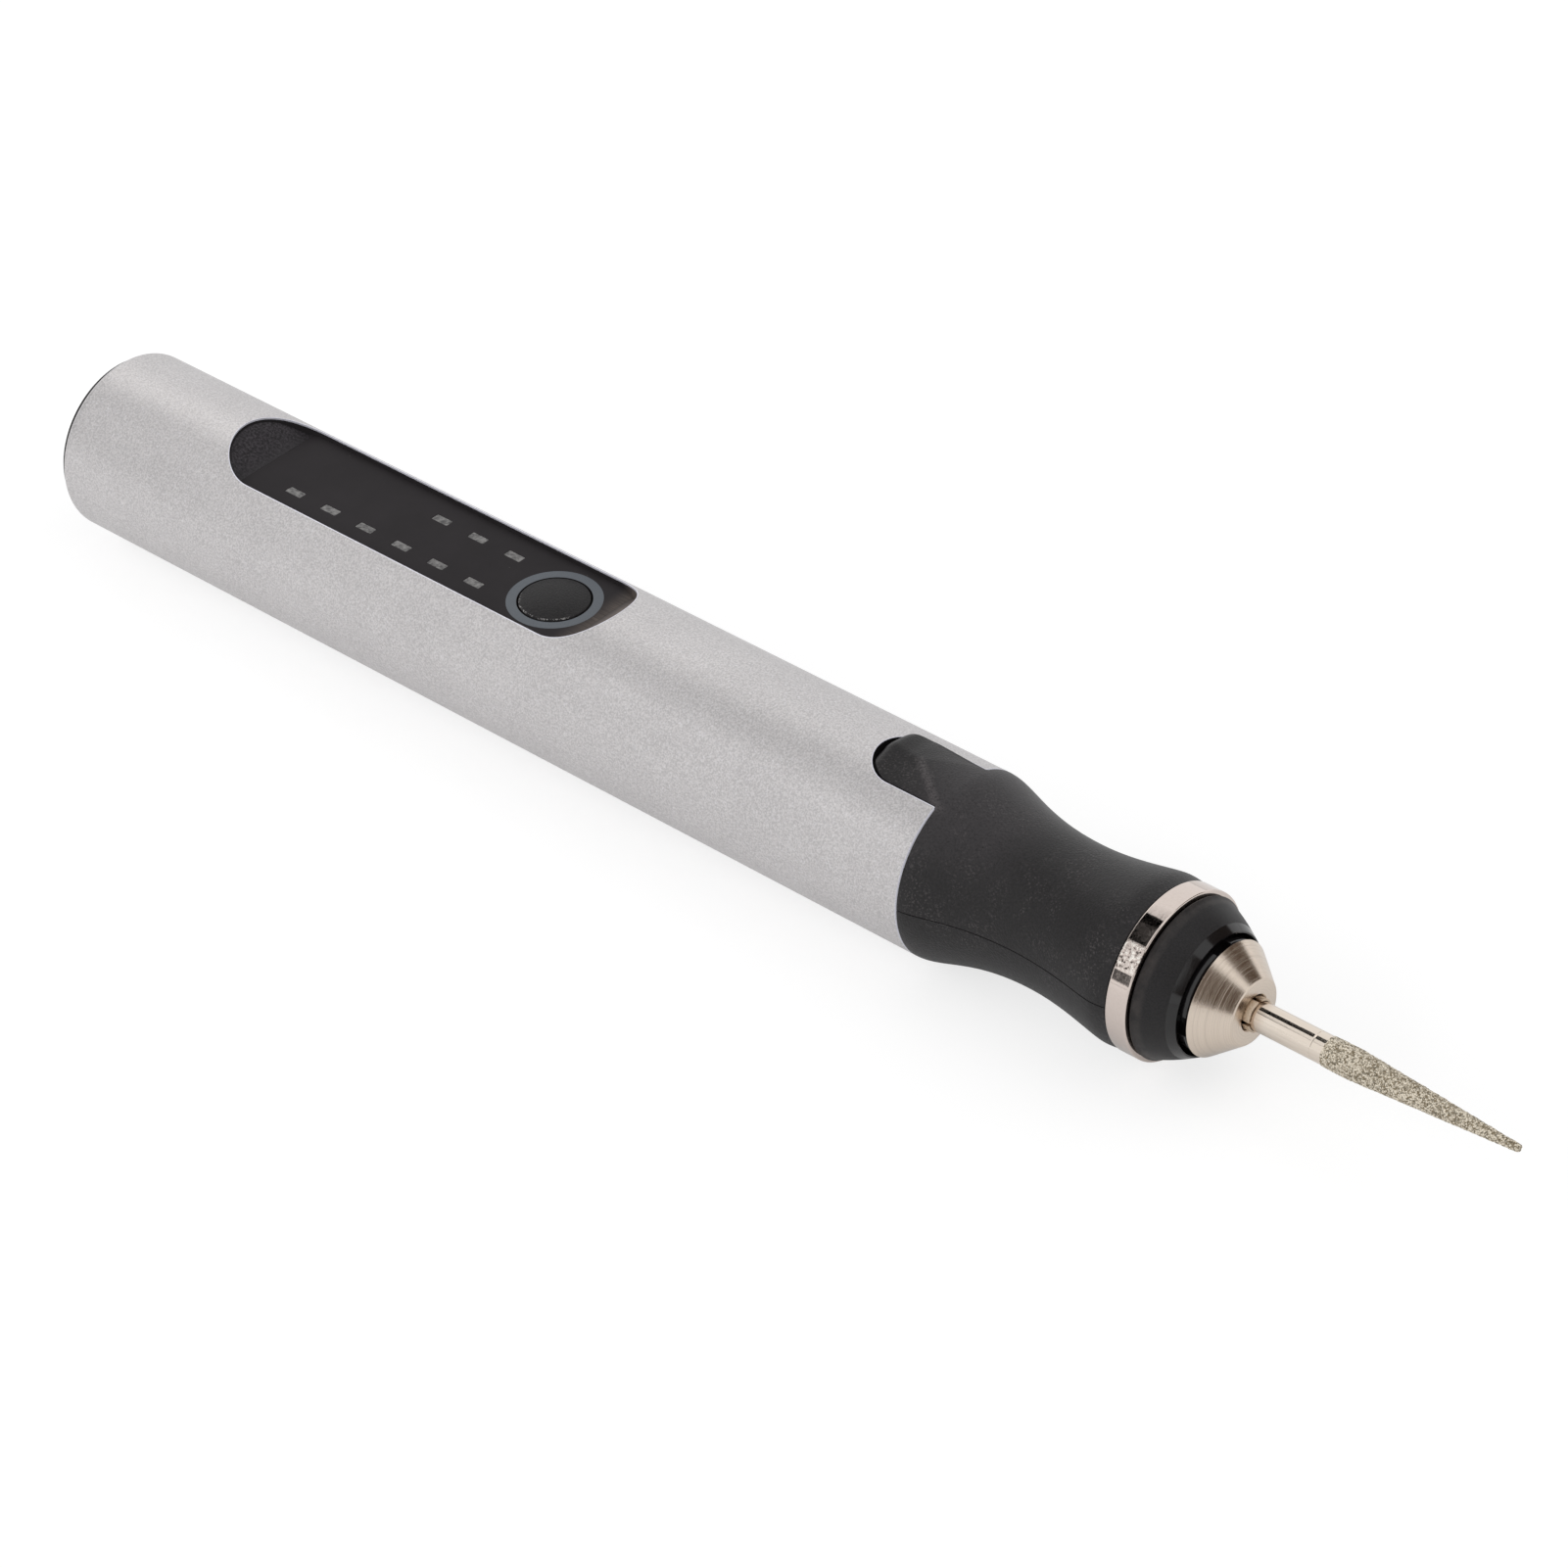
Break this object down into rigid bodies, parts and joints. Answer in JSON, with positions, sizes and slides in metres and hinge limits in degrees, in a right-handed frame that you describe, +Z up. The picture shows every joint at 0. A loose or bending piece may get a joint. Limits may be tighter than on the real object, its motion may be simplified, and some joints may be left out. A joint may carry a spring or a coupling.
{
  "type": "electric engraving pen",
  "caption": "Cordless rotary engraving pen: silver tube with a black control panel and power button, waisted black grip, plated nose ring, cone chuck nut and tapered abrasive bit.",
  "frame": {"origin": "centre of the pen's bounding box in plan, on the floor under the tube (z = 0)", "axes": "+X along the pen towards the bit, +Z up through the control panel and power button, -Y the side towards the camera"},
  "size_m": [0.1854, 0.02, 0.0207],
  "materials": {
    "satin_silver": "satin anodised, fine sparkling grain",
    "soft_black": "soft-touch black, fine leathery texture",
    "moulded_black": "moulded black, fine texture",
    "gloss_black": "smooth glossy black",
    "nickel": "polished nickel plate",
    "steel": "machined steel",
    "diamond_grit": "plated steel shank, head coated with sparkling grit",
    "brass": "plain brass",
    "copper": "enamelled copper",
    "board_green": "green circuit board",
    "light_guide": "grey translucent plastic",
    "led_white": "small white lamp body",
    "magnet_grey": "sintered ferrite",
    "cell_sleeve": "blue shrink sleeve",
    "lead_red": "red insulated wire"
  },
  "bodies": {
    "housing": {"barrel_tube": "satin_silver", "grip_upper_shell": "soft_black", "grip_lower_shell": "soft_black", "nose_ring": "nickel", "nose_cone": "moulded_black", "end_cap": "moulded_black", "charge_socket": "steel", "charge_socket_tongue": "moulded_black", "charge_board": "board_green", "inner_chassis": "moulded_black", "panel_bezel": "moulded_black", "panel_film": "gloss_black", "light_guide_near": "light_guide", "light_guide_far": "light_guide", "led_1": "led_white", "led_2": "led_white", "led_3": "led_white", "led_4": "led_white", "led_5": "led_white", "led_6": "led_white", "led_7": "led_white", "led_8": "led_white", "led_9": "led_white", "main_board": "board_green", "switch_body": "steel", "board_screw_front": "steel", "board_screw_rear": "steel", "battery_cell": "cell_sleeve", "battery_tab_front": "nickel", "battery_tab_rear": "nickel", "motor_can": "steel", "motor_end_bell": "moulded_black", "motor_magnet_near": "magnet_grey", "motor_magnet_far": "magnet_grey", "motor_bush": "brass", "motor_terminal_near": "brass", "motor_terminal_far": "brass", "front_bearing_outer_ring": "steel", "rear_bearing_outer_ring": "steel", "motor_lead_near": "moulded_black", "motor_lead_far": "lead_red", "charge_lead_near": "moulded_black", "charge_lead_far": "lead_red"},
    "spindle_group": {"motor_shaft": "steel", "motor_rotor": "steel", "motor_winding": "copper", "commutator": "copper", "coupling_sleeve": "brass", "spindle": "steel", "spindle_collar": "gloss_black", "front_bearing_inner_ring": "steel", "rear_bearing_inner_ring": "steel", "front_bearing_balls": "brass", "rear_bearing_balls": "brass"},
    "collet_group": {"collet": "steel"},
    "chuck_nut_group": {"chuck_nut": "nickel"},
    "bit_group": {"engraving_bit": "diamond_grit"},
    "button_group": {"power_button": "moulded_black", "switch_plunger": "moulded_black"}
  },
  "joints": [
    {"name": "spindle_spin", "type": "hinge", "parent": "housing", "child": "spindle_group", "pos_m": [0.02637, 0, 0.00999], "axis": [1, 0, 0], "continuous": true},
    {"name": "collet_advance", "type": "slide", "parent": "spindle_group", "child": "collet_group", "axis": [1, 0, 0], "range_m": [0, 0.001]},
    {"name": "nut_turn", "type": "hinge", "parent": "collet_group", "child": "chuck_nut_group", "pos_m": [0.02637, 0, 0.00999], "axis": [1, 0, 0], "range_deg": [0, 720]},
    {"name": "bit_slide", "type": "slide", "parent": "collet_group", "child": "bit_group", "axis": [1, 0, 0], "range_m": [0, 0.017]},
    {"name": "power_press", "type": "slide", "parent": "housing", "child": "button_group", "axis": [0, 0, -1], "range_m": [0, 0.00025], "stiffness_N_per_m": 4000, "springref_m": -0.00015}
  ],
  "couplings": [
    {"joint": "nut_turn", "follows": "collet_advance", "rad_per_m": 12566}
  ]
}
